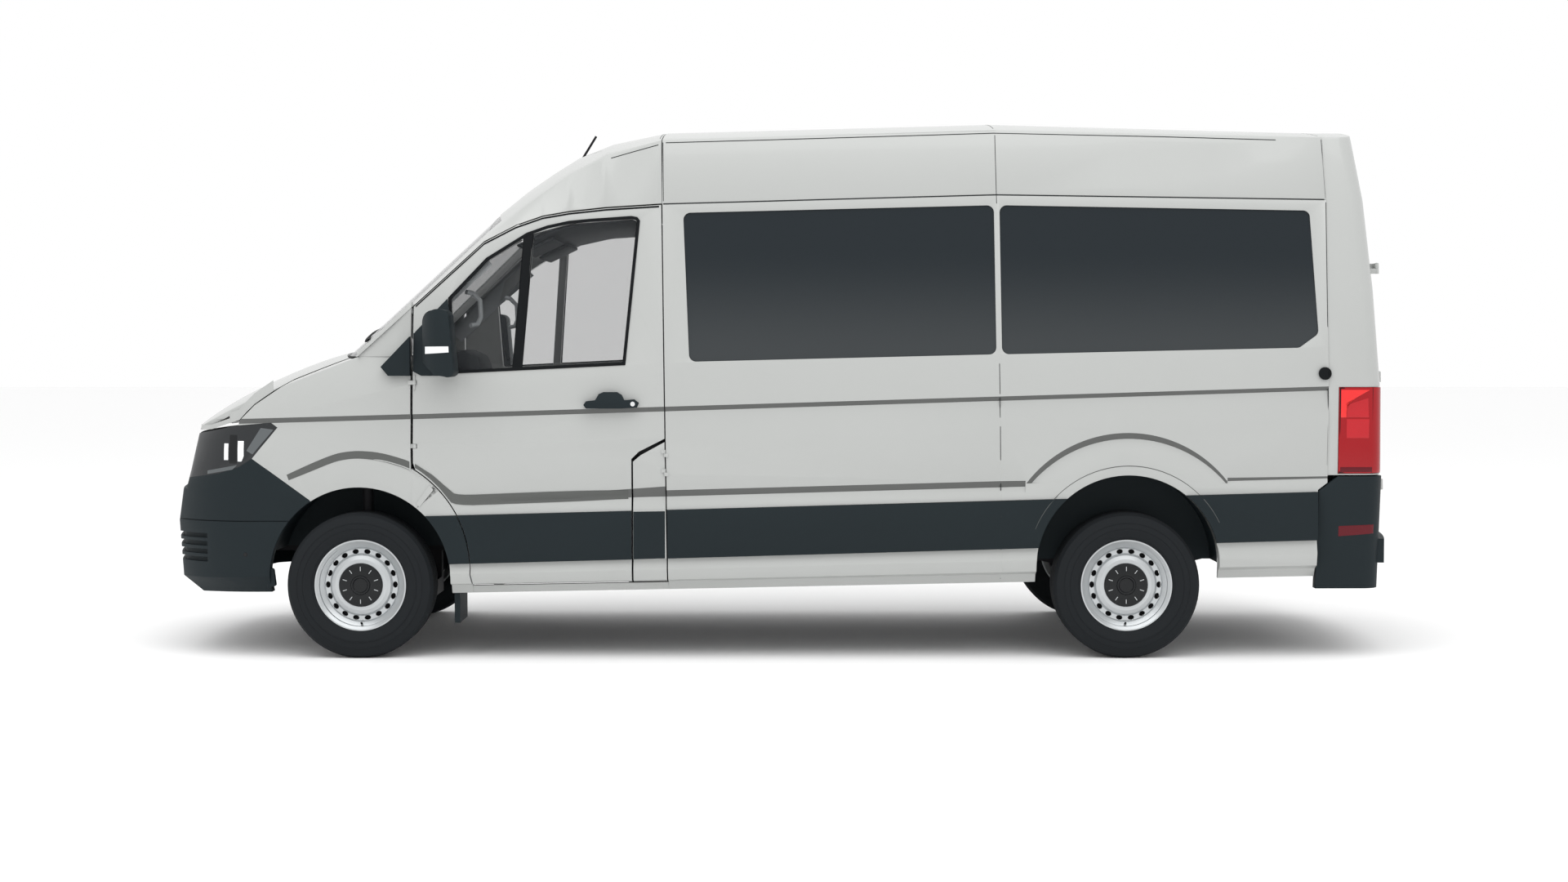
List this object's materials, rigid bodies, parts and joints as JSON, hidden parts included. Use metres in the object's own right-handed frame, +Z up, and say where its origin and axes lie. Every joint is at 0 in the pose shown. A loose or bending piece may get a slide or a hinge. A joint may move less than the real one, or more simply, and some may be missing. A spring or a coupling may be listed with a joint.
{
  "type": "panel van",
  "caption": "High-roof panel van with glazed sides, hinged cab doors, twin rear doors, lifting bonnet and steered, rolling wheels.",
  "frame": {"origin": "on the ground under the middle of the van's length and width", "axes": "+X towards the front, +Y to the van's left, +Z up"},
  "size_m": [5.9858, 2.4282, 2.5898],
  "materials": {
    "white_paint": "gloss",
    "dark_plastic": "grained",
    "glass": "clear",
    "tyre": "matte",
    "wheel_steel": "satin",
    "clear_lamp": "clear",
    "red_lamp": "clear",
    "seat_fabric": "woven",
    "board": "satin",
    "dark_steel": "satin"
  },
  "bodies": {
    "body": {"a_posts": "white_paint", "aerial": "dark_steel", "arch_liners": "dark_plastic", "b_post_right": "white_paint", "cladding": "dark_plastic", "dashboard": "dark_plastic", "engine_block": "dark_steel", "exhaust": "dark_steel", "floor_pan": "white_paint", "frame_rails": "dark_steel", "front_bumper": "dark_plastic", "front_subframe": "dark_steel", "fuel_tank": "dark_steel", "grille": "dark_plastic", "headlamps": "clear_lamp", "load_floor": "board", "radiator": "dark_steel", "rear_axle": "dark_steel", "rear_bumper": "dark_plastic", "rear_frame": "white_paint", "roof_front": "white_paint", "roof_rear_panels": "white_paint", "seats": "seat_fabric", "side_glass": "glass", "side_left_mid": "white_paint", "side_left_rear": "white_paint", "side_right_rear": "white_paint", "sills": "white_paint", "sliding_door": "white_paint", "spare_wheel": "dark_steel", "tail_lamps": "red_lamp", "windscreen": "glass", "wings": "white_paint"},
    "wheel_front_left": {"tyre_front_left": "tyre", "rim_front_left": "wheel_steel"},
    "wheel_front_right": {"tyre_front_right": "tyre", "rim_front_right": "wheel_steel"},
    "wheel_rear_left": {"tyre_rear_left": "tyre", "rim_rear_left": "wheel_steel"},
    "wheel_rear_right": {"tyre_rear_right": "tyre", "rim_rear_right": "wheel_steel"},
    "door_left": {"door_left": "white_paint", "door_glass_left": "glass", "door_trim_left": "dark_plastic"},
    "door_right": {"door_right": "white_paint", "door_glass_right": "glass", "door_trim_right": "dark_plastic"},
    "rear_door_left": {"rear_door_left": "white_paint", "rear_glass_left": "glass"},
    "rear_door_right": {"rear_door_right": "white_paint", "rear_glass_right": "glass"},
    "knuckle_left": {"knuckle_left": "dark_steel"},
    "knuckle_right": {"knuckle_right": "dark_steel"},
    "bonnet": {"bonnet": "white_paint"},
    "fuel_flap": {"fuel_flap": "white_paint"},
    "steering_wheel": {"steering_wheel": "dark_plastic"}
  },
  "joints": [
    {"name": "steer_left", "type": "hinge", "parent": "body", "child": "knuckle_left", "pos_m": [1.993, 0.715, 0.346], "axis": [0, 0, 1], "range_deg": [-35, 35]},
    {"name": "spin_front_left", "type": "hinge", "parent": "knuckle_left", "child": "wheel_front_left", "pos_m": [1.993, 0.862, 0.346], "axis": [0, 1, 0], "continuous": true},
    {"name": "spin_rear_left", "type": "hinge", "parent": "body", "child": "wheel_rear_left", "pos_m": [-1.647, 0.862, 0.346], "axis": [0, 1, 0], "continuous": true},
    {"name": "open_door_left", "type": "hinge", "parent": "body", "child": "door_left", "pos_m": [1.723, 0.984, 1], "axis": [0, 0, -1], "range_deg": [0, 62]},
    {"name": "open_rear_door_left", "type": "hinge", "parent": "body", "child": "rear_door_left", "pos_m": [-2.87687, 0.838, 0.8], "axis": [-0.03, 0, -0.9996], "range_deg": [0, 180]},
    {"name": "steer_right", "type": "hinge", "parent": "body", "child": "knuckle_right", "pos_m": [1.993, -0.715, 0.346], "axis": [0, 0, 1], "range_deg": [-35, 35]},
    {"name": "spin_front_right", "type": "hinge", "parent": "knuckle_right", "child": "wheel_front_right", "pos_m": [1.993, -0.862, 0.346], "axis": [0, 1, 0], "continuous": true},
    {"name": "spin_rear_right", "type": "hinge", "parent": "body", "child": "wheel_rear_right", "pos_m": [-1.647, -0.862, 0.346], "axis": [0, 1, 0], "continuous": true},
    {"name": "open_door_right", "type": "hinge", "parent": "body", "child": "door_right", "pos_m": [1.723, -0.984, 1], "axis": [0, 0, 1], "range_deg": [0, 62]},
    {"name": "open_rear_door_right", "type": "hinge", "parent": "body", "child": "rear_door_right", "pos_m": [-2.87687, -0.838, 0.8], "axis": [0.03, 0, 0.9996], "range_deg": [0, 180]},
    {"name": "open_bonnet", "type": "hinge", "parent": "body", "child": "bonnet", "pos_m": [2.03, 0, 1.442], "axis": [0, -1, 0], "range_deg": [0, 50]},
    {"name": "open_fuel_flap", "type": "hinge", "parent": "body", "child": "fuel_flap", "pos_m": [0.53807, 1.0135, 0.7], "axis": [0.015, 0, 0.9999], "range_deg": [0, 95]},
    {"name": "turn_steering_wheel", "type": "hinge", "parent": "body", "child": "steering_wheel", "pos_m": [1.36, 0.4, 1.19], "axis": [-0.848, 0, 0.5299], "range_deg": [-525, 525]}
  ],
  "couplings": [
    {"joint": "steer_right", "follows": "steer_left", "ratio": 1},
    {"joint": "turn_steering_wheel", "follows": "steer_left", "ratio": 15}
  ]
}
